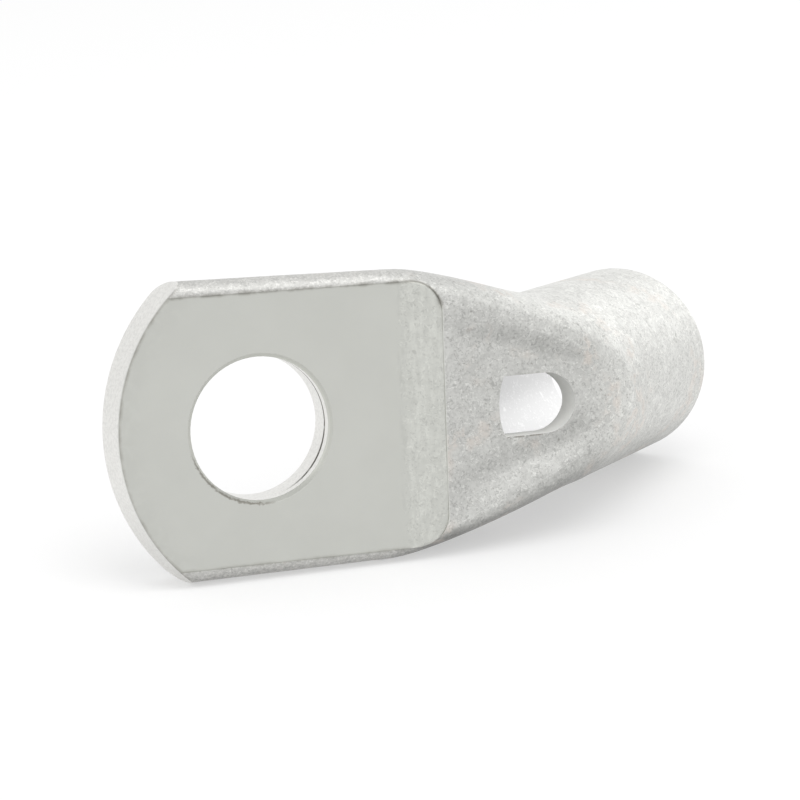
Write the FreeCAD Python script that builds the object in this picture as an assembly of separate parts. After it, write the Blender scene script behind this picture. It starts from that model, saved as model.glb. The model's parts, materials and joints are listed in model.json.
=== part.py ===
import FreeCAD, Part
import math
import os

# Compression earthing lug pressed from one piece of tube: an open round barrel for the
# conductor, a drawn-down throat with a sight hole, and a flat palm with one stud hole.
# The palm is bent away from the barrel's line. Lengths in millimetres, angles in degrees.

# Lug frame used while building: x runs from the stud hole towards the barrel,
# y across the palm, z out of the contact face, which lies in z = 0.

# tube
tube_diameter = 19.0
wall = 1.95
barrel_length = 39.4        # inner bend corner to mouth, along the barrel
mouth_outer_chamfer = 0.3
mouth_inner_chamfer = 0.3

# palm
palm_width = 27.0           # across the stud hole
palm_taper = 0.7            # each side closes in towards the barrel
side_round = 1.2            # how far the folded side curves in across the palm
stud_hole_diameter = 13.0
stud_hole_chamfer = 0.35    # the punch draws the contact face's rim in
seam_place = 1.4            # the punch thins the front wall, so the walls meet this far down
seam_width = 0.2            # the two pressed walls part at the stud hole's wall
seam_depth = 0.26
tip_reach = 13.6            # stud hole centre to tip, on the back face
tip_radius = 18.0
tip_lean = 0.5              # the sheared end leans back by this much at the contact face

# bend and throat
bend_angle = 45.0
bend_reach = 12.6           # stud hole centre to the inner corner of the bend
blend_drop = 1.2            # the barrel is full round this far below the contact face
run_in = 2.0                # plain lengths where the throat joins the palm and the barrel
crest_rise = 0.4            # the two ridges of the throat stand up by this much
valley_drop = 0.85          # hollows inside the ridges
middle_drop = 0.3           # the throat's middle, below the ridges
slit = 0.28                 # gap left between the pressed walls where the hollow runs out

# shape of the throat's sections, as shares
throat_marks = (0.18, 0.39, 0.6, 0.8)   # places between the bend and the round barrel
throat_swell = 0.03         # the throat is wider than an even squeeze by this share
travel_lead = 0.2           # the back of a section runs ahead of its front
side_low = 0.2              # the widest point sits below the middle by up to this share
valley_start = 0.17
valley_place = 0.62         # share of the way from the middle to the ridge
fold_share = 0.3            # a fold curves in by at least this share of its height
ridge_mark = 22.0           # where the ridges run out on the round barrel, from its top

# print of the pressing die
die_depth = 0.12
die_width = 24.6
die_flat_reach = 13.7
die_reach = 17.7
die_corner = 3.0
die_rise = 0.22             # the print ramps up by this much beyond its flat part

# sight hole
sight_width = 5.7
sight_near = 23.0           # stud hole centre to the near edge
sight_far = 30.9            # stud hole centre to the far end
sight_bulge = 0.72          # bow of the near edge
sight_lean = 11.0

palm_thickness = 2 * wall
tube_radius = tube_diameter / 2
bore_radius = tube_radius - wall
stud_hole_radius = stud_hole_diameter / 2
bend = math.radians(bend_angle)
taper = math.tan(math.radians(palm_taper))
ridge_angle = math.radians(ridge_mark)
along_barrel = FreeCAD.Vector(math.cos(bend), 0, -math.sin(bend))
over_barrel = FreeCAD.Vector(math.sin(bend), 0, math.cos(bend))
inner_corner = FreeCAD.Vector(bend_reach, 0, -palm_thickness)
round_start = (tube_diameter * math.cos(bend) - palm_thickness + blend_drop) / math.sin(bend)
throat_end = bend_reach + round_start * math.cos(bend) + tube_diameter * math.sin(bend)
origin = FreeCAD.Vector(0, 0, 0)
up = FreeCAD.Vector(0, 0, 1)
across = FreeCAD.Vector(0, 1, 0)
far = 200.0


def palm_half_width(x):
    return palm_width / 2 - taper * x


def heading(degrees):
    angle = math.radians(degrees)
    return math.cos(angle), -math.sin(angle)


def span(start, start_fall, end, end_fall):
    """Smooth curve between two points (y, h); the falls are its slopes at the two ends."""
    sy, sh = heading(start_fall)
    ey, eh = heading(end_fall)
    dy, dh = end[0] - start[0], end[1] - start[1]
    cross = sy * eh - sh * ey
    turn = math.radians(abs(end_fall - start_fall))
    chord = math.hypot(dy, dh)
    first = last = chord / 3
    if abs(cross) > 1e-6:
        pull = 4 / 3 * math.tan(turn / 4) / math.tan(turn / 2)
        from_start = pull * (dy * eh - dh * ey) / cross
        from_end = pull * (sy * dh - sh * dy) / cross
        if 0 < from_start < chord and 0 < from_end < chord:
            first, last = from_start, from_end
    return [
        start,
        (start[0] + first * sy, start[1] + first * sh),
        (end[0] - last * ey, end[1] - last * eh),
        end,
    ]


def half_outline(half_width, side_height, middle, valley, crest, foot):
    """Right half of a section, from the front middle round to the back middle.

    middle, valley, crest and foot are (y, h, fall of the curve there)."""
    side = (half_width, side_height)
    return [
        span(middle[:2], middle[2], valley[:2], valley[2]),
        span(valley[:2], valley[2], crest[:2], crest[2]),
        span(crest[:2], crest[2], side, 90),
        span(side, 90, foot[:2], foot[2]),
        span(foot[:2], foot[2], (0, 0), 180),
    ]


def section_wire(back, front, half):
    """Closed wire in the plane through back and front, mirrored about the middle."""
    rise = (front - back).normalize()

    def point(y, h):
        return back + across * y + rise * h

    edges = []
    for poles in half:
        curve = Part.BezierCurve()
        curve.setPoles([point(y, h) for y, h in poles])
        edges.append(curve.toShape())
    for poles in reversed(half):
        curve = Part.BezierCurve()
        curve.setPoles([point(-y, h) for y, h in reversed(poles)])
        edges.append(curve.toShape())
    return Part.Wire(edges)


def loft(wires, ruled):
    solid = Part.makeLoft(wires, True, ruled)
    if solid.Volume < 0:
        solid.reverse()
    return solid


def round_section(travel, radius):
    """Round section of the barrel, divided at the same marks as the flattened ones."""
    centre = tube_back(travel, tube_radius)
    marks = [0, ridge_mark / 2, ridge_mark, 90, 180 - ridge_mark, 180]
    marks += [360 - mark for mark in reversed(marks[:-1])]

    def point(degrees):
        angle = math.radians(degrees)
        return centre + (across * math.sin(angle) + over_barrel * math.cos(angle)) * radius

    arcs = [
        Part.Arc(point(start), point((start + end) / 2), point(end)).toShape()
        for start, end in zip(marks, marks[1:])
    ]
    return Part.Wire(arcs)


def palm_section(x, inset=0.0):
    """Flattened section across the palm, set in from every side by inset."""
    half_width = palm_half_width(x) - inset
    height = palm_thickness + die_depth - 2 * inset
    crest_y = half_width - max(side_round - inset, fold_share * height)
    half = half_outline(
        half_width,
        height / 2,
        (0, height, 0),
        (crest_y / 2, height, 0),
        (crest_y, height, 0),
        (crest_y, 0, 180),
    )
    back = FreeCAD.Vector(x, 0, inset - palm_thickness)
    return section_wire(back, back + up * height, half)


def throat_section(t, depth=0.0):
    """Section at t, from 0 at the bend to 1 at the round barrel, set in by depth."""
    arch = math.sin(math.pi * t)
    hollow = math.sin(math.pi * max(0.0, (t - valley_start) / (1 - valley_start)))
    top = die_depth + crest_rise * arch - blend_drop * t ** 6
    front = FreeCAD.Vector(bend_reach + (throat_end - bend_reach) * t, 0, top)
    back = tube_back(round_start * t * (1 + travel_lead * (1 - t)))
    rise = (front - back).normalize()
    outer_height = (front - back).Length
    pressed = (math.pi * tube_diameter - (math.pi - 2) * outer_height) / 2
    half_width = pressed / 2 * (1 + throat_swell * arch ** 3) - depth
    front_wall = depth / rise.z
    back_wall = depth / rise.dot(over_barrel)
    height = outer_height - front_wall - back_wall

    fall = ridge_mark * t ** 3
    slant = math.radians(fall)
    drop = tube_radius * (1 - math.cos(ridge_angle)) * t ** 3 - depth * (1 - math.cos(slant))
    full_in = tube_radius * (1 - math.sin(ridge_angle)) - side_round
    set_in = side_round - depth * (1 - math.sin(slant))
    least_in = fold_share * height
    crest_y = half_width - max(set_in + full_in * t, least_in)
    foot_y = half_width - max(set_in + full_in * math.sin(math.pi / 2 * t), least_in)
    half = half_outline(
        half_width,
        height * (0.5 - side_low * arch),
        (0, height - middle_drop * hollow, 0),
        (valley_place * crest_y, height - valley_drop * hollow - drop / 4, fall / 2),
        (crest_y, height - drop, fall),
        (foot_y, drop, 180 - fall),
    )
    return section_wire(back + rise * back_wall, front - rise * front_wall, half)


def tube_back(travel, depth=0.0):
    """Point on the barrel's back line, set in by depth."""
    return inner_corner + along_barrel * travel + over_barrel * depth


def palm_blank(start, end):
    """Flattened tube from start to end; each side closes in at the taper."""
    section = Part.Face(palm_section(start))
    run = end - start
    right, left = [
        section.extrude(FreeCAD.Vector(run, side * taper * run, 0)) for side in (-1, 1)
    ]
    return right.common(left)


def outer_body():
    lead = bend_reach - run_in
    palm = palm_blank(-tip_radius, lead)
    stations = [palm_section(lead), palm_section(bend_reach)]
    stations += [throat_section(t) for t in throat_marks]
    stations += [round_section(round_start, tube_radius)]
    stations += [round_section(round_start + run_in, tube_radius)]
    throat = loft(stations, False)
    barrel = Part.makeCylinder(
        tube_radius,
        barrel_length - round_start - run_in,
        tube_back(round_start + run_in, tube_radius),
        along_barrel,
    )
    return palm.fuse([throat, barrel]).removeSplitter()


def tip_tool():
    """Space kept by the shear that cuts the tip to an arc."""
    centre_x = tip_radius - tip_reach
    arc = Part.makeCone(
        tip_radius + tip_lean,
        tip_radius - 2 * tip_lean,
        3 * palm_thickness,
        FreeCAD.Vector(centre_x, 0, -2 * palm_thickness),
    )
    rest = Part.makeBox(far, far, far, FreeCAD.Vector(centre_x, -far / 2, -far / 2))
    return arc.fuse(rest)


def die_print():
    """Space of the flat die, with its ramp and its two rounded far corners."""
    profile = Part.makePolygon([
        FreeCAD.Vector(-far, 0, 0),
        FreeCAD.Vector(die_flat_reach, 0, 0),
        FreeCAD.Vector(die_reach, 0, die_rise),
        FreeCAD.Vector(die_reach, 0, wall),
        FreeCAD.Vector(-far, 0, wall),
        FreeCAD.Vector(-far, 0, 0),
    ])
    profile.translate(across * (-die_width / 2))
    block = Part.Face(profile).extrude(across * die_width)
    far_edges = [edge for edge in block.Edges if abs(edge.CenterOfMass.x - die_reach) < 0.01]
    upright = [edge for edge in far_edges if edge.BoundBox.YLength < 0.01]
    return block.makeFillet(die_corner, upright)


def cavity():
    """Hollow of the tube, from the mouth to where the walls are pressed together."""
    bore = Part.makeCylinder(
        bore_radius,
        barrel_length - round_start,
        tube_back(round_start + run_in, tube_radius),
        along_barrel,
    )
    stations = [palm_section(bend_reach, (palm_thickness + die_depth - slit) / 2)]
    stations += [throat_section(t, wall) for t in throat_marks]
    stations += [round_section(round_start, bore_radius)]
    stations += [round_section(round_start + run_in, bore_radius)]
    return loft(stations, True).fuse(bore)


def stud_hole():
    """Stud hole, with the fine groove where the two walls meet."""
    hole = Part.makeCylinder(
        stud_hole_radius, 4 * palm_thickness, FreeCAD.Vector(0, 0, -2 * palm_thickness)
    )
    lower = -seam_place - seam_width / 2
    upper = lower + seam_width
    inside = stud_hole_radius - wall
    groove = Part.makePolygon([
        FreeCAD.Vector(inside, 0, lower),
        FreeCAD.Vector(stud_hole_radius, 0, lower),
        FreeCAD.Vector(stud_hole_radius + seam_depth, 0, -seam_place),
        FreeCAD.Vector(stud_hole_radius, 0, upper),
        FreeCAD.Vector(inside, 0, upper),
        FreeCAD.Vector(inside, 0, lower),
    ])
    return hole.fuse(Part.Face(groove).revolve(origin, up, 360))


def sight_hole():
    """Slot through the front wall: one full round end, one shallow bowed edge."""
    radius = sight_width / 2
    centre = sight_far - radius
    near_left = FreeCAD.Vector(sight_near + sight_bulge, -radius, 0)
    near_right = FreeCAD.Vector(sight_near + sight_bulge, radius, 0)
    far_left = FreeCAD.Vector(centre, -radius, 0)
    far_right = FreeCAD.Vector(centre, radius, 0)
    outline = Part.Wire([
        Part.Arc(near_left, FreeCAD.Vector(sight_near, 0, 0), near_right).toShape(),
        Part.makeLine(near_right, far_right),
        Part.Arc(far_right, FreeCAD.Vector(sight_far, 0, 0), far_left).toShape(),
        Part.makeLine(far_left, near_left),
    ])
    lean = math.radians(sight_lean)
    axis = FreeCAD.Vector(math.sin(lean), 0, math.cos(lean))
    face = Part.Face(outline)
    face.translate(axis * wall)
    return face.extrude(axis * (-3 * wall))


def rim_edges(body, centre, radius):
    """Edges that run round a centre at one radius."""
    near = [edge for edge in body.Edges if (edge.CenterOfMass - centre).Length < 0.01]
    return [edge for edge in near if abs(edge.BoundBox.YLength / 2 - radius) < 0.01]


def rest_normal():
    """Direction that is up when the lug lies on the palm's long side and the mouth's rim."""
    half_height = (palm_thickness + die_depth) / 2
    side = FreeCAD.Vector(0, side_round - palm_half_width(0), half_height - palm_thickness)
    rim = tube_back(barrel_length - mouth_outer_chamfer, tube_radius)

    def tilted(lean):
        return FreeCAD.Vector(-taper, 1, math.tan(lean)).normalize()

    def foot_gap(lean):
        normal = tilted(lean)
        side_low_point = side.dot(normal) - math.hypot(side_round * normal.y, half_height * normal.z)
        level = math.sqrt(1 - normal.dot(along_barrel) ** 2)
        return rim.dot(normal) - tube_radius * level - side_low_point

    low, high = 0.0, bend
    while high - low > 1e-9:
        middle = (low + high) / 2
        if foot_gap(middle) > 0:
            low = middle
        else:
            high = middle
    return tilted(low)


def at_rest(body):
    """The body turned and moved onto the ground, its bounding box centred on the origin."""
    normal = rest_normal()
    away = normal.cross(FreeCAD.Vector(1, 0, 0)).normalize()
    turn = FreeCAD.Rotation(away.cross(normal), away, normal, "ZXY").inverted()
    body.Placement = FreeCAD.Placement(origin, turn)
    box = body.optimalBoundingBox(False)
    body.translate(FreeCAD.Vector(-box.Center.x, -box.Center.y, -box.ZMin))
    return body


def lug():
    body = outer_body().common(tip_tool())
    body = body.cut(die_print())
    body = body.cut(cavity())
    body = body.cut(stud_hole())
    body = body.cut(sight_hole())
    mouth = tube_back(barrel_length, tube_radius)
    body = body.makeChamfer(stud_hole_chamfer, rim_edges(body, origin, stud_hole_radius))
    body = body.makeChamfer(mouth_outer_chamfer, rim_edges(body, mouth, tube_radius))
    body = body.makeChamfer(mouth_inner_chamfer, rim_edges(body, mouth, bore_radius))
    return body.Solids[0]


os.makedirs("parts", exist_ok=True)
at_rest(lug()).exportStep("parts/lug_body.step")
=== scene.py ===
import json
import bpy
from bpy.props import FloatProperty, FloatVectorProperty, PointerProperty
from mathutils import Matrix, Vector

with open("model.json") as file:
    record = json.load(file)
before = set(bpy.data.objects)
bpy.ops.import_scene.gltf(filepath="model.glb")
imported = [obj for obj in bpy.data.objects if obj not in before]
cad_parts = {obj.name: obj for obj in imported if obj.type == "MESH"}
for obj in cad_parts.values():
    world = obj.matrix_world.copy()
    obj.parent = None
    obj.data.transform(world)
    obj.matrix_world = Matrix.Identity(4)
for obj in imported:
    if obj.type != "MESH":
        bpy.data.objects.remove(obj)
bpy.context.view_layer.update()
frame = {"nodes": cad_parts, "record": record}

bl_info = {
    "name": "Earthing lug finish",
    "version": (1, 0, 0),
    "blender": (4, 5, 0),
    "location": "3D View > Sidebar > Lug",
    "description": "Finishes a pressed tube lug in tinned copper and sets it on a plain stage",
    "category": "Object",
}

# The lug's own axes, taken from its mounts: x from the stud hole towards the barrel,
# y across the palm, z out of the contact face. Lengths on them are in millimetres.
MM = 0.001
MOUNTS = {mount["name"]: mount for mount in frame["record"]["mounts"]}
FACE_AXIS = Vector(MOUNTS["stud_hole"]["axis"]).normalized()
BARREL_AXIS = Vector(MOUNTS["conductor_socket"]["axis"]).normalized()
ACROSS_AXIS = FACE_AXIS.cross(BARREL_AXIS).normalized()
LENGTH_AXIS = ACROSS_AXIS.cross(FACE_AXIS)
HALF_PALM = MOUNTS["stud_hole"]["dims"]["length_mm"] / 2
STUD_RADIUS = MOUNTS["stud_hole"]["dims"]["r_mm"]
FACE_CENTRE = Vector(MOUNTS["stud_hole"]["pos_m"]) + FACE_AXIS * HALF_PALM * MM
LUG_AXES = Matrix((LENGTH_AXIS, ACROSS_AXIS, FACE_AXIS)).transposed()
TO_LUG = LUG_AXES.transposed()
BARREL_POINT = TO_LUG @ (Vector(MOUNTS["conductor_socket"]["pos_m"]) - FACE_CENTRE) / MM
BARREL_LINE = TO_LUG @ BARREL_AXIS

# Places on the lug that the finish follows, in millimetres on the lug's axes.
PRINT_HALF_WIDTH = 12.3
PRINT_RAMP = 13.7
PRINT_END = 17.7
PRINT_CORNER = 3.0
SEAM_DROP = 1.4
HOLLOW_SIDE = 15.5
HOLLOW_LEAN = 0.36
SIGHT_AXIS = (0.19, 0.0, 0.98)
SIGHT_NEAR = 23.0
SIGHT_CENTRE = 28.05
SIGHT_HALF_WIDTH = 2.85
BARREL_START = 36.0
TIP_CENTRE = 4.4
TIP_EDGE_RADIUS = 17.5
BURR_SIDE = (-0.545, -0.839, 0.0)

WHITE = (1.0, 1.0, 1.0)
MARK_HALF = 0.012
MARK_EDGE = 0.05
BUMP_REACH = 4

# The stage: lamps in metres in the scene, the camera on the lug's axes.
BACK_LAMP_PLACE = (0.49, 0.34, 0.14)
BACK_LAMP_AIM = (0.015, 0, 0.012)
BACK_LAMP_SIZE = 0.34
TOP_LAMP_PLACE = (0.05, -0.16, 0.55)
TOP_LAMP_AIM = (0, 0, 0.01)
TOP_LAMP_SIZE = 0.40
FLOOR_SIDES = 96
CAMERA_PLACE = (-76.0, 36.824, 235.7)
CAMERA_RIGHT = (0.932659, -0.035553, 0.359003)
CAMERA_UP = (0.082739, 0.989687, -0.116937)
SENSOR_WIDTH = 36


class LugFinish(bpy.types.PropertyGroup):
    plating: FloatVectorProperty(
        name="Tin", description="Tumbled tin on the barrel and throat",
        default=(0.595, 0.596, 0.575), subtype="COLOR", min=0, max=1)
    pressed: FloatVectorProperty(
        name="Pressed tin", description="Smooth tin where the die pressed the palm",
        default=(0.564, 0.570, 0.537), subtype="COLOR", min=0, max=1)
    sheared: FloatVectorProperty(
        name="Sheared tin", description="Bright tin on the sheared tip and the folded sides",
        default=(0.78, 0.775, 0.75), subtype="COLOR", min=0, max=1)
    grime: FloatVectorProperty(
        name="Grime", description="Dark stain that gathers in pits and along edges",
        default=(0.20, 0.185, 0.155), subtype="COLOR", min=0, max=1)
    copper: FloatVectorProperty(
        name="Copper blush", description="Copper that shows faintly through thin tin",
        default=(0.66, 0.56, 0.49), subtype="COLOR", min=0, max=1)
    grain: FloatProperty(
        name="Grain size", description="Size of the tumbled grain",
        default=0.00028, min=0.00005, max=0.002, unit="LENGTH", precision=5)
    grain_depth: FloatProperty(
        name="Grain depth", description="Depth of the tumbled grain",
        default=0.000022, min=0, max=0.0005, unit="LENGTH", precision=6)
    polish: FloatProperty(
        name="Roughness", description="Roughness of the pressed tin",
        default=0.42, min=0, max=1, subtype="FACTOR")


class LugStage(bpy.types.PropertyGroup):
    floor_colour: FloatVectorProperty(
        name="Floor", description="Colour of the floor",
        default=(0.52, 0.52, 0.52), subtype="COLOR", min=0, max=1)
    floor_lift: FloatProperty(
        name="Floor lift", description="Brightness added to the floor where it is seen",
        default=0.42, min=0)
    floor_reach: FloatProperty(
        name="Floor reach", description="Radius of the floor",
        default=3.0, min=0.5, unit="LENGTH")
    room_light: FloatProperty(
        name="Room light", description="Brightness of the even light all round",
        default=0.96, min=0)
    key_power: FloatProperty(
        name="Back lamp power", description="Power of the soft lamp behind the barrel",
        default=0.20, min=0, unit="POWER")
    side_power: FloatProperty(
        name="Top lamp power", description="Power of the soft lamp above",
        default=0.9, min=0, unit="POWER")
    lens: FloatProperty(
        name="Lens", description="Focal length of the camera, in millimetres",
        default=125.68, min=10)


def shade(colour, amount):
    return tuple(channel * amount for channel in colour)


class Bench:
    """Adds and joins the nodes of one material."""

    def __init__(self, tree):
        self.tree = tree

    def add(self, kind, settings=None, **inputs):
        made = self.tree.nodes.new(kind)
        for name, value in (settings or {}).items():
            setattr(made, name, value)
        for name, value in inputs.items():
            self.put(value, made.inputs[name.replace("_", " ")])
        return made

    def put(self, value, socket):
        if isinstance(value, bpy.types.NodeSocket):
            self.tree.links.new(value, socket)
        else:
            socket.default_value = value

    def math(self, operation, *values, clamp=False):
        made = self.add("ShaderNodeMath", {"operation": operation, "use_clamp": clamp})
        for value, socket in zip(values, made.inputs):
            self.put(value, socket)
        return made.outputs[0]

    def vector(self, operation, *values, out=0):
        made = self.add("ShaderNodeVectorMath", {"operation": operation})
        for value, socket in zip(values, made.inputs):
            self.put(value, socket)
        return made.outputs[out]

    def above(self, value, low, high):
        """0 below low, 1 above high, smooth between them."""
        made = self.add("ShaderNodeMapRange", {"interpolation_type": "SMOOTHSTEP"})
        for number, socket in ((value, 0), (low, 1), (high, 2), (0.0, 3), (1.0, 4)):
            self.put(number, made.inputs[socket])
        return made.outputs[0]

    def below(self, value, low, high):
        return self.other_than(self.above(value, low, high))

    def near(self, value, target, half, edge):
        """1 within half of the target, 0 beyond edge."""
        return self.below(self.math("ABSOLUTE", self.math("SUBTRACT", value, target)), half, edge)

    def fade(self, value, width):
        """1 where the value is 0, falling evenly to 0 at the width."""
        return self.other_than(self.math("DIVIDE", self.math("ABSOLUTE", value), width, clamp=True))

    def past(self, value, start):
        return self.math("MAXIMUM", self.math("SUBTRACT", value, start), 0.0)

    def other_than(self, mask):
        return self.math("SUBTRACT", 1.0, mask)

    def both(self, *masks):
        product = masks[0]
        for mask in masks[1:]:
            product = self.math("MULTIPLY", product, mask)
        return product

    def most(self, *masks):
        highest = masks[0]
        for mask in masks[1:]:
            highest = self.math("MAXIMUM", highest, mask)
        return highest

    def noise(self, place, scale, detail=4.0, rough=0.6, twist=0.0):
        made = self.add(
            "ShaderNodeTexNoise", None, Vector=place, Scale=scale, Detail=detail,
            Roughness=rough, Distortion=twist)
        return made.outputs["Fac"]

    def stretched(self, place, turn, scale):
        made = self.add("ShaderNodeMapping", None, Vector=place, Rotation=turn, Scale=scale)
        return made.outputs[0]

    def blend(self, factor, first, second, way="MIX"):
        made = self.add("ShaderNodeMix", {"data_type": "RGBA", "blend_type": way})
        self.put(factor, made.inputs[0])
        for colour, socket in ((first, 6), (second, 7)):
            linked = isinstance(colour, bpy.types.NodeSocket)
            self.put(colour if linked else (*colour, 1.0), made.inputs[socket])
        return made.outputs[2]

    def stain(self, mask, amount, colour, stained):
        return self.blend(self.math("MULTIPLY", mask, amount), colour, stained)

    def tint(self, mask, colour, amount):
        """Multiplies the colour by the amount where the mask is 1."""
        return self.blend(mask, colour, shade(WHITE, amount), "MULTIPLY")

    def speckle(self, pattern, low, high, colour, dark, light):
        """Two shades of one colour that follow a pattern."""
        return self.blend(self.above(pattern, low, high), shade(colour, dark), shade(colour, light))

    def between(self, factor, first, second):
        made = self.add("ShaderNodeMix", {"data_type": "FLOAT"})
        for number, socket in ((factor, 0), (first, 2), (second, 3)):
            self.put(number, made.inputs[socket])
        return made.outputs[0]


def new_material(name):
    made = bpy.data.materials.new(name)
    made.use_nodes = True
    made.node_tree.nodes.clear()
    return made, Bench(made.node_tree)


def lug_places(bench):
    """Sockets for the place on the lug's axes, in millimetres, and for the facing direction."""
    coords = bench.add("ShaderNodeTexCoord")
    to_lug = bench.add(
        "ShaderNodeMapping", {"vector_type": "POINT"}, Vector=coords.outputs["Object"],
        Location=-(TO_LUG @ FACE_CENTRE) / MM, Rotation=TO_LUG.to_euler("XYZ"), Scale=(1 / MM,) * 3)
    facing = bench.add(
        "ShaderNodeMapping", {"vector_type": "VECTOR"}, Vector=coords.outputs["Normal"],
        Rotation=TO_LUG.to_euler("XYZ"))
    return to_lug.outputs[0], facing.outputs[0]


class Surface:
    """Patterns and masks on the lug that its colour, roughness and relief share."""

    def __init__(self, bench, grain):
        self.bench = bench
        self.place, self.facing = lug_places(bench)
        self.x, self.y, self.z = bench.add("ShaderNodeSeparateXYZ", None, Vector=self.place).outputs
        self.side = bench.math("ABSOLUTE", self.y)
        self.flat = bench.add("ShaderNodeCombineXYZ", None, X=self.x, Y=self.y).outputs[0]
        self.facing_up = bench.vector("DOT_PRODUCT", self.facing, (0.0, 1.0, 0.0), out=1)
        self.lower_half = bench.below(self.y, -1.5, 0.0)
        self.left_half = bench.below(self.x, -1.0, 0.0)
        self.set_grain(MM / grain)
        self.set_marks()
        self.set_print()
        self.set_hole()
        self.set_throat()
        self.set_inside()
        self.set_slot()

    def set_grain(self, rate):
        bench, place = self.bench, self.place
        self.fine = bench.noise(place, rate, 5.0, 0.65)
        self.coarse = bench.noise(place, rate / 4.5, 4.0, 0.6, 0.3)
        self.tone = bench.math(
            "ADD", bench.math("MULTIPLY", self.fine, 0.6), bench.math("MULTIPLY", self.coarse, 0.4))
        self.cloud = bench.noise(place, 0.16, 3.0, 0.55)
        self.wander = bench.noise(place, 1.1, 3.0, 0.6)
        self.patch = bench.above(bench.noise(place, 0.55, 3.0, 0.6), 0.34, 0.66)

    def set_marks(self):
        """Streaks across the ramp and the short curled marks that tumbling leaves in the tin."""
        bench, place = self.bench, self.place
        slim = bench.stretched(place, (0.0, 0.0, 0.0), (1.0, 0.22, 1.0))
        self.streak = bench.noise(slim, 1.5, 3.0, 0.6)
        turned = bench.stretched(place, (0.6, 1.1, 0.3), (1.0, 1.0, 1.0))
        swirl = bench.noise(place, 1.5, 2.0, 0.5, 1.2)
        other = bench.noise(turned, 2.0, 2.0, 0.5, 1.2)
        self.dark_curl = bench.both(
            bench.near(swirl, 0.5, MARK_HALF, MARK_EDGE), bench.above(other, 0.50, 0.58))
        self.light_curl = bench.both(
            bench.near(other, 0.5, MARK_HALF, MARK_EDGE), bench.above(swirl, 0.52, 0.60))

    def set_print(self):
        """Distances outside the die's rounded print and the tip's arc, and what they bound."""
        bench = self.bench
        corner = bench.add(
            "ShaderNodeCombineXYZ", None,
            X=bench.past(self.x, PRINT_END - PRINT_CORNER),
            Y=bench.past(self.side, PRINT_HALF_WIDTH - PRINT_CORNER)).outputs[0]
        self.print_gap = bench.math("SUBTRACT", bench.vector("LENGTH", corner, out=1), PRINT_CORNER)
        from_tip = bench.vector("DISTANCE", self.flat, (TIP_CENTRE, 0.0, 0.0), out=1)
        self.tip_gap = bench.math("SUBTRACT", from_tip, TIP_EDGE_RADIUS)
        self.front = bench.above(self.z, -0.35, -0.05)
        self.in_print = bench.both(
            bench.below(self.print_gap, -0.03, 0.03), bench.above(self.z, -0.50, -0.45))
        self.tip_end = bench.both(
            self.left_half, bench.above(self.tip_gap, 0.0, 0.06), bench.below(self.z, -0.05, 0.0))
        self.side_band = bench.both(
            bench.above(self.side, PRINT_HALF_WIDTH - 0.02, PRINT_HALF_WIDTH + 0.25),
            bench.below(self.x, PRINT_RAMP - 4.0, PRINT_END))

    def set_hole(self):
        """Distance outside the stud hole, the hole's wall and its drawn-in rim."""
        bench = self.bench
        self.hole_gap = bench.math("SUBTRACT", bench.vector("LENGTH", self.flat, out=1), STUD_RADIUS)
        self.hole_wall = bench.both(
            bench.below(self.hole_gap, 0.10, 0.18), bench.below(self.z, -0.02, -0.004))
        self.hole_rim = bench.both(
            bench.below(self.hole_gap, 0.36, 0.40),
            bench.below(self.z, -0.012, -0.004), bench.above(self.z, -0.45, -0.38))

    def set_throat(self):
        """The throat, and the distance outside the hollow line that runs inward to the barrel."""
        bench = self.bench
        self.throat = bench.both(
            bench.above(self.x, PRINT_END - 1.5, PRINT_END + 1.5),
            bench.below(self.x, BARREL_START - 6.0, BARREL_START))
        hollow_line = bench.math("SUBTRACT", HOLLOW_SIDE, bench.math("MULTIPLY", self.x, HOLLOW_LEAN))
        self.off_hollow = bench.math("SUBTRACT", self.side, hollow_line)

    def set_inside(self):
        """The inside of the tube, where the surface faces the tube's own axis."""
        bench = self.bench
        from_axis = bench.vector("SUBTRACT", self.place, tuple(BARREL_POINT))
        along = bench.vector("DOT_PRODUCT", from_axis, tuple(BARREL_LINE), out=1)
        run = bench.add("ShaderNodeVectorMath", {"operation": "SCALE"}, Scale=along)
        bench.put(tuple(BARREL_LINE), run.inputs[0])
        outward = bench.vector("SUBTRACT", from_axis, run.outputs[0])
        turned_out = bench.vector("DOT_PRODUCT", outward, self.facing, out=1)
        self.inside = bench.both(
            bench.below(turned_out, -1.0, 0.0),
            bench.above(self.x, PRINT_END, PRINT_END + 0.5), bench.below(self.z, -1.2, -0.6))

    def set_slot(self):
        """Distance outside the sight hole, and the hole's wall."""
        bench = self.bench
        reach = bench.add(
            "ShaderNodeCombineXYZ", None, X=bench.past(self.x, SIGHT_CENTRE), Y=self.y).outputs[0]
        self.slot_gap = bench.math("SUBTRACT", bench.vector("LENGTH", reach, out=1), SIGHT_HALF_WIDTH)
        self.at_slot = bench.both(
            bench.above(self.x, SIGHT_NEAR - 0.4, SIGHT_NEAR - 0.2), bench.below(self.slot_gap, 0.30, 0.45))
        turned_in = bench.below(bench.vector("DOT_PRODUCT", self.facing, SIGHT_AXIS, out=1), 0.35, 0.55)
        self.slot_wall = bench.both(self.at_slot, turned_in, bench.above(self.z, -4.5, -4.0))


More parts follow.
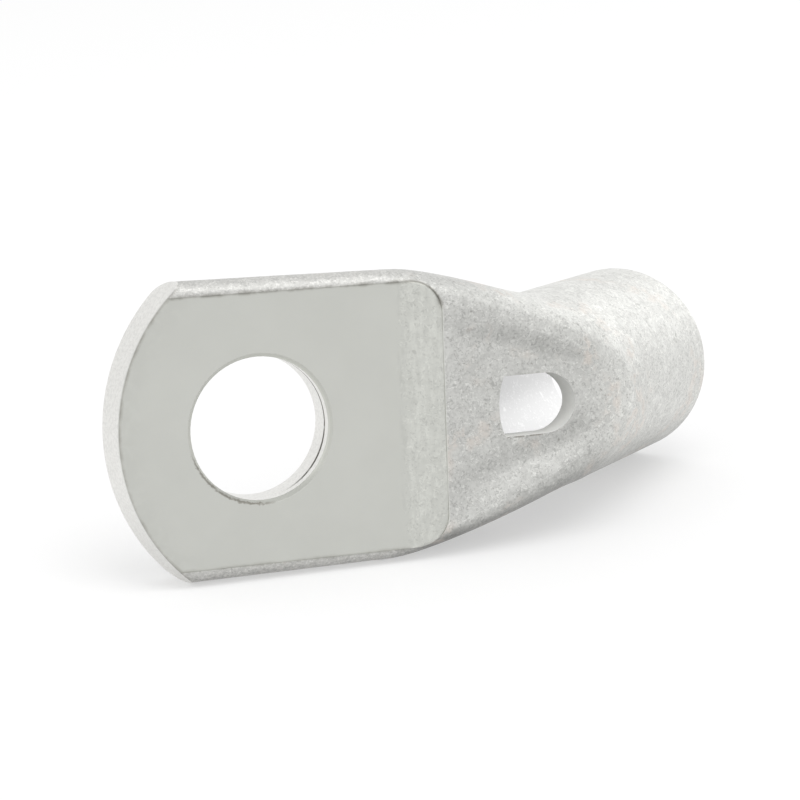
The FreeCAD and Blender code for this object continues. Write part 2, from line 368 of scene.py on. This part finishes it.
def painted_light_zones(surface):
    """Painted light and shade over the throat and the barrel, each zone with the factor on its tin's
    brightness.
    """
    bench, x, throat = surface.bench, surface.x, surface.throat
    up, hollow, lower_half = surface.facing_up, surface.off_hollow, surface.lower_half
    # Painted shade in the valley between the ridges, on the slope below the upper ridge that faces down,
    # and in a band on the low side; painted light on the low slopes that face up.
    valley_shade = bench.both(throat, bench.below(hollow, 0.0, 1.6))
    ridge_shade = bench.both(throat, bench.below(up, -0.30, 0.0), bench.above(hollow, -4.0, -1.0))
    low_band_shade = bench.both(
        throat, lower_half, bench.above(hollow, -4.0, -2.6), bench.below(hollow, -1.6, -0.4))
    lit_slope = bench.both(throat, lower_half, bench.above(up, 0.02, 0.30))
    # Painted light on the barrel and on the surfaces that face up from the throat to the barrel; painted
    # shade on every surface that faces down and along the low edge near the bend.
    barrel = bench.above(x, BARREL_START - 4.0, BARREL_START + 2.0)
    lit_shoulder = bench.both(
        bench.above(x, 21.0, 27.0), bench.above(up, 0.36, 0.62),
        bench.below(x, BARREL_START - 6.0, BARREL_START + 4.0))
    lit_crown = bench.both(bench.above(x, 19.0, 25.0), bench.above(up, 0.64, 0.94))
    underside_shade = bench.below(up, -0.85, -0.35)
    low_edge_shade = bench.both(
        bench.below(up, -0.45, -0.10), bench.below(x, PRINT_END, PRINT_END + 3.0),
        bench.above(surface.z, -1.4, -0.9))
    return (
        (valley_shade, 0.935), (ridge_shade, 0.84), (low_band_shade, 0.91), (lit_slope, 1.10),
        (barrel, 1.14), (lit_shoulder, 1.14), (lit_crown, 1.10), (underside_shade, 0.70), (low_edge_shade, 0.72))


def tumbled_colour(surface, finish):
    """Grainy tin with curled marks, blushes of copper and dark pits, with painted light and shade over the
    throat and the barrel.
    """
    bench, tin = surface.bench, finish.plating
    colour = bench.speckle(surface.tone, 0.36, 0.64, tin, 0.89, 1.09)
    colour = bench.stain(surface.dark_curl, 0.75, colour, shade(tin, 0.67))
    colour = bench.stain(surface.light_curl, 0.70, colour, shade(tin, 1.34))
    # Painted light and shade, zone by zone, over the throat and the barrel.
    for zone, amount in painted_light_zones(surface):
        colour = bench.tint(zone, colour, amount)
    blush = bench.both(bench.above(surface.cloud, 0.55, 0.66), bench.above(surface.coarse, 0.42, 0.58))
    colour = bench.stain(blush, 0.32, colour, finish.copper)
    pits = bench.both(bench.below(surface.fine, 0.33, 0.40), bench.below(surface.wander, 0.42, 0.56))
    return bench.stain(pits, 0.45, colour, finish.grime)


def ramp_colour(surface, tin):
    """Grainier, streaked tin on the ramp at the print's far end."""
    bench = surface.bench
    colour = bench.speckle(surface.tone, 0.38, 0.62, tin, 0.97, 1.06)
    colour = bench.tint(bench.above(surface.streak, 0.44, 0.60), colour, 1.07)
    colour = bench.stain(surface.dark_curl, 0.42, colour, shade(tin, 0.68))
    return bench.stain(surface.light_curl, 0.42, colour, shade(tin, 1.35))


def pressed_colour(surface, finish):
    """Smooth tin under the die, a little duller towards the tip, with the ramp at its far end."""
    bench = surface.bench
    colour = bench.speckle(surface.cloud, 0.3, 0.7, finish.pressed, 0.985, 1.015)
    margin = bench.both(
        surface.left_half, bench.above(surface.tip_gap, -3.0, 0.0), bench.above(surface.coarse, 0.30, 0.60))
    colour = bench.tint(margin, colour, 0.955)
    stray = bench.math("MULTIPLY", bench.math("SUBTRACT", surface.wander, 0.5), 2.4)
    on_ramp = bench.above(bench.math("ADD", surface.x, stray), PRINT_RAMP - 0.5, PRINT_RAMP + 0.5)
    colour = bench.blend(on_ramp, colour, ramp_colour(surface, finish.pressed))
    ramp_line = bench.both(
        bench.near(surface.x, PRINT_RAMP, 0.1, 0.6), bench.above(surface.streak, 0.46, 0.60))
    return bench.tint(ramp_line, colour, 0.93)


def band_colour(surface, bright):
    """Flecked bright tin on the folded sides, with a painted light that makes it lighter towards the bend.
    """
    bench = surface.bench
    flecks = bench.most(surface.light_curl, bench.above(surface.fine, 0.56, 0.64))
    colour = bench.speckle(surface.tone, 0.36, 0.64, bright, 0.66, 0.80)
    colour = bench.stain(flecks, 0.45, colour, shade(bright, 1.05))
    colour = bench.stain(surface.dark_curl, 0.4, colour, shade(bright, 0.50))
    # Painted light: the band grows lighter towards the bend.
    lit_to_bend = bench.speckle(surface.x, -14.0, 16.0, WHITE, 0.96, 1.05)
    return bench.blend(1.0, colour, lit_to_bend, "MULTIPLY")


def rim_highlight_colour(surface, tin):
    """The stud hole's rim: a painted highlight, brightest on the side of the bend, and darker at its low
    side.
    """
    bench = surface.bench
    right = bench.both(bench.above(surface.x, 0.0, 3.0), bench.below(surface.hole_gap, 0.08, 0.18))
    low = bench.below(surface.y, -STUD_RADIUS * 0.95, -STUD_RADIUS * 0.55)
    colour = bench.blend(right, shade(tin, 1.13), shade(tin, 1.22))
    return bench.blend(low, colour, shade(tin, 0.86))


def seam_mask(surface):
    """The dark groove in the stud hole's wall, wider towards its low side."""
    bench = surface.bench
    half = bench.between(bench.below(surface.y, -3.5, 1.5), 0.08, 0.16)
    edge = bench.math("ADD", half, 0.08)
    return bench.both(
        bench.near(surface.z, -SEAM_DROP, half, edge), bench.below(surface.hole_gap, 0.30, 0.34),
        bench.above(surface.wander, 0.15, 0.45), bench.above(surface.y, -6.4, -4.6))


def burr_mask(surface):
    """The uneven dark burr on the low left of the stud hole's rim."""
    bench = surface.bench
    low_left = bench.vector("DOT_PRODUCT", surface.flat, BURR_SIDE, out=1)
    return bench.both(
        bench.above(low_left, STUD_RADIUS * 0.74, STUD_RADIUS * 0.90),
        bench.near(surface.hole_gap, bench.math("MULTIPLY", surface.fine, 0.55), 0.05, 0.17),
        bench.above(surface.z, -0.5, -0.4), bench.above(surface.wander, 0.30, 0.46))


def far_edge_light_mask(surface):
    """Painted light along the lip where the print ends at the bend, lifting the shade of its step."""
    bench = surface.bench
    return bench.both(
        bench.near(surface.print_gap, 0.0, 0.05, 0.11), bench.above(surface.z, -0.5, -0.4),
        bench.below(surface.side, PRINT_HALF_WIDTH - 2.4, PRINT_HALF_WIDTH - 1.6),
        bench.above(surface.x, PRINT_RAMP, PRINT_END))


def slot_edge_mask(surface):
    """Faint uneven darkening along the sight hole's straight edges, mostly the lower one."""
    bench = surface.bench
    edge = bench.both(
        surface.at_slot, bench.near(surface.slot_gap, 0.03, 0.05, 0.16),
        bench.above(surface.side, SIGHT_HALF_WIDTH - 0.6, SIGHT_HALF_WIDTH - 0.3),
        bench.above(surface.x, SIGHT_NEAR + 0.7, SIGHT_NEAR + 1.0),
        bench.below(surface.x, SIGHT_CENTRE - 1.0, SIGHT_CENTRE),
        bench.above(surface.wander, 0.36, 0.52), bench.above(surface.z, -1.0, -0.8),
        bench.other_than(surface.slot_wall))
    return bench.math("MULTIPLY", edge, bench.between(surface.lower_half, 0.15, 0.6))


def line_mask(surface):
    """Thin dark creases of uneven width along the print's sides and the tip's edge."""
    bench, x = surface.bench, surface.x
    width = bench.math("ADD", bench.math("MULTIPLY", surface.patch, 0.16), 0.16)
    far_corner = bench.both(bench.above(x, PRINT_RAMP, PRINT_RAMP + 1.5), bench.above(surface.y, 0.0, 1.0))
    low_corner = bench.both(surface.lower_half, bench.above(x, PRINT_RAMP - 1.0, PRINT_RAMP + 1.0))
    crease = bench.both(
        bench.fade(surface.print_gap, width), surface.front,
        bench.above(surface.side, PRINT_HALF_WIDTH - PRINT_CORNER, PRINT_HALF_WIDTH - 2.0),
        bench.most(bench.between(surface.patch, 0.25, 0.6), bench.math("MULTIPLY", far_corner, 0.7)),
        bench.between(surface.lower_half, 1.0, 0.5), bench.other_than(low_corner))
    tip_line = bench.both(
        bench.fade(surface.tip_gap, width), surface.front, surface.left_half,
        bench.between(surface.patch, 0.2, 0.5))
    return bench.most(crease, tip_line)


def lug_colour(surface, finish, lines):
    bench = surface.bench
    colour = bench.blend(
        surface.in_print, tumbled_colour(surface, finish), pressed_colour(surface, finish))
    cover = bench.between(bench.above(surface.fine, 0.30, 0.55), 0.5, 0.8)
    colour = bench.stain(surface.side_band, cover, colour, band_colour(surface, finish.sheared))
    bright = bench.speckle(surface.fine, 0.35, 0.62, finish.sheared, 0.93, 1.05)
    colour = bench.blend(bench.most(surface.tip_end, surface.hole_wall), colour, bright)
    # Painted highlight on the stud hole's rim, darker at its low side.
    colour = bench.blend(surface.hole_rim, colour, rim_highlight_colour(surface, finish.pressed))
    specks = bench.most(surface.light_curl, bench.above(surface.coarse, 0.64, 0.70))
    within = bench.blend(specks, shade(WHITE, 0.72), shade(WHITE, 0.85))
    colour = bench.blend(surface.inside, colour, within)
    colour = bench.stain(seam_mask(surface), 0.92, colour, shade(finish.grime, 0.40))
    colour = bench.stain(burr_mask(surface), 0.65, colour, finish.grime)
    # Painted light along the lip where the print ends at the bend.
    colour = bench.stain(far_edge_light_mask(surface), 0.7, colour, shade(finish.pressed, 1.13))
    # Painted light: the sight hole's wall gets matt tin far lighter than the plating, lifting it out of the
    # shade it sits in.
    colour = bench.blend(surface.slot_wall, colour, shade(finish.plating, 1.48))
    colour = bench.blend(slot_edge_mask(surface), colour, finish.grime)
    return bench.stain(lines, 0.8, colour, finish.grime)


def lug_roughness(surface, polish, lines):
    bench = surface.bench
    rough = bench.between(bench.above(surface.tone, 0.3, 0.7), 0.5, 0.36)
    pressed = bench.between(surface.coarse, polish, polish + 0.06)
    sheared = bench.most(surface.tip_end, surface.hole_wall)
    for mask, value in (
            (surface.in_print, pressed), (surface.side_band, 0.55), (sheared, 0.34),
            (surface.hole_rim, 0.70), (surface.inside, 0.42), (surface.slot_wall, 0.70),
            (bench.above(lines, 0.05, 0.6), 0.75)):
        rough = bench.between(mask, rough, value)
    return rough


def lug_relief(surface, depth):
    """Bump of the grain, almost flat where the tin is pressed, sheared or inside the tube."""
    bench = surface.bench
    smooth = bench.most(surface.in_print, surface.hole_wall, surface.inside)
    strength = bench.between(smooth, 1.0, 0.10)
    relief = bench.math("MULTIPLY", bench.math("SUBTRACT", surface.tone, 0.5), strength)
    bump = bench.add(
        "ShaderNodeBump", None, Strength=1.0, Distance=depth * BUMP_REACH, Height=relief)
    return bump.outputs[0]


def tinned_copper(finish):
    """Tin on pressed copper: smooth under the die, bright where sheared, tumbled elsewhere."""
    made, bench = new_material("tinned_copper")
    surface = Surface(bench, finish.grain)
    lines = line_mask(surface)
    shader = bench.add(
        "ShaderNodeBsdfPrincipled", None,
        Base_Color=lug_colour(surface, finish, lines),
        Metallic=bench.other_than(surface.slot_wall),
        Roughness=lug_roughness(surface, finish.polish, lines),
        Normal=lug_relief(surface, finish.grain_depth))
    bench.add("ShaderNodeOutputMaterial", None, Surface=shader.outputs[0])
    return made


class LUG_OT_finish_body(bpy.types.Operator):
    """Gives the lug's body its tinned copper finish"""
    bl_idname = "lug.finish_body"
    bl_label = "Finish lug body"

    def execute(self, context):
        body = frame["nodes"]["lug_body"]
        body.data.materials.clear()
        body.data.materials.append(tinned_copper(context.scene.lug_finish))
        return {"FINISHED"}


def seen_rays(bench):
    """1 for what is seen straight, mirrored or through, 0 for the light that falls on things."""
    path = bench.add("ShaderNodeLightPath")
    kinds = ("Is Camera Ray", "Is Glossy Ray", "Is Transmission Ray")
    return bench.most(*(path.outputs[kind] for kind in kinds))


def floor_material(stage):
    made, bench = new_material("stage_floor")
    lift = bench.math("MULTIPLY", seen_rays(bench), stage.floor_lift)
    matt = bench.add("ShaderNodeBsdfDiffuse", None, Color=(*stage.floor_colour, 1.0))
    glow = bench.add("ShaderNodeEmission", None, Strength=lift)
    both = bench.add("ShaderNodeAddShader")
    bench.put(matt.outputs[0], both.inputs[0])
    bench.put(glow.outputs[0], both.inputs[1])
    bench.add("ShaderNodeOutputMaterial", None, Surface=both.outputs[0])
    return made


def add_floor(stage):
    bpy.ops.object.select_all(action="DESELECT")
    bpy.ops.mesh.primitive_circle_add(
        vertices=FLOOR_SIDES, radius=stage.floor_reach, fill_type="NGON")
    floor = bpy.context.object
    floor.name = "stage_floor"
    floor.data.materials.append(floor_material(stage))


def soft_lamp(name, place, aim, size, power):
    data = bpy.data.lights.new(name, "AREA")
    data.shape = "DISK"
    data.size = size
    data.energy = power
    lamp = bpy.data.objects.new(name, data)
    bpy.context.scene.collection.objects.link(lamp)
    lamp.location = place
    lamp.rotation_euler = (Vector(aim) - Vector(place)).to_track_quat("-Z", "Y").to_euler()


def even_light(brightness):
    """White wherever it is seen, a little less as the light on things."""
    world = bpy.data.worlds.new("even_light")
    bpy.context.scene.world = world
    world.use_nodes = True
    world.node_tree.nodes.clear()
    bench = Bench(world.node_tree)
    strength = bench.between(seen_rays(bench), brightness, 1.0)
    glow = bench.add("ShaderNodeBackground", None, Color=(*WHITE, 1.0), Strength=strength)
    bench.add("ShaderNodeOutputWorld", None, Surface=glow.outputs[0])


def lug_camera(lens):
    """Camera before the contact face, a little left of it and above."""
    data = bpy.data.cameras.new("camera")
    data.lens = lens
    data.sensor_width = SENSOR_WIDTH
    data.clip_start = 0.01
    camera = bpy.data.objects.new("camera", data)
    bpy.context.scene.collection.objects.link(camera)
    right, up = Vector(CAMERA_RIGHT), Vector(CAMERA_UP)
    turn = Matrix((right, up, right.cross(up))).transposed()
    camera.rotation_euler = (LUG_AXES @ turn).to_euler()
    camera.location = FACE_CENTRE + LUG_AXES @ Vector(CAMERA_PLACE) * MM
    bpy.context.scene.camera = camera


class LUG_OT_set_stage(bpy.types.Operator):
    """Sets the floor, the lamps, the even light and the camera"""
    bl_idname = "lug.set_stage"
    bl_label = "Set stage"

    def execute(self, context):
        stage = context.scene.lug_stage
        add_floor(stage)
        soft_lamp("back_lamp", BACK_LAMP_PLACE, BACK_LAMP_AIM, BACK_LAMP_SIZE, stage.key_power)
        soft_lamp("top_lamp", TOP_LAMP_PLACE, TOP_LAMP_AIM, TOP_LAMP_SIZE, stage.side_power)
        even_light(stage.room_light)
        lug_camera(stage.lens)
        context.scene.view_settings.view_transform = "Standard"
        return {"FINISHED"}


class LUG_PT_panel(bpy.types.Panel):
    bl_label = "Earthing lug"
    bl_idname = "LUG_PT_panel"
    bl_space_type = "VIEW_3D"
    bl_region_type = "UI"
    bl_category = "Lug"

    def draw(self, context):
        column = self.layout.column()
        for group in (context.scene.lug_finish, context.scene.lug_stage):
            for name in group.__annotations__:
                column.prop(group, name)
        for operator in OPERATORS:
            column.operator(operator.bl_idname)


OPERATORS = (LUG_OT_finish_body, LUG_OT_set_stage)
CLASSES = (LugFinish, LugStage) + OPERATORS + (LUG_PT_panel,)


def register():
    for kind in CLASSES:
        bpy.utils.register_class(kind)
    bpy.types.Scene.lug_finish = PointerProperty(type=LugFinish)
    bpy.types.Scene.lug_stage = PointerProperty(type=LugStage)


def unregister():
    del bpy.types.Scene.lug_stage
    del bpy.types.Scene.lug_finish
    for kind in reversed(CLASSES):
        bpy.utils.unregister_class(kind)


def main():
    register()
    bpy.ops.lug.finish_body()
    bpy.ops.lug.set_stage()


if __name__ == "__main__":
    main()
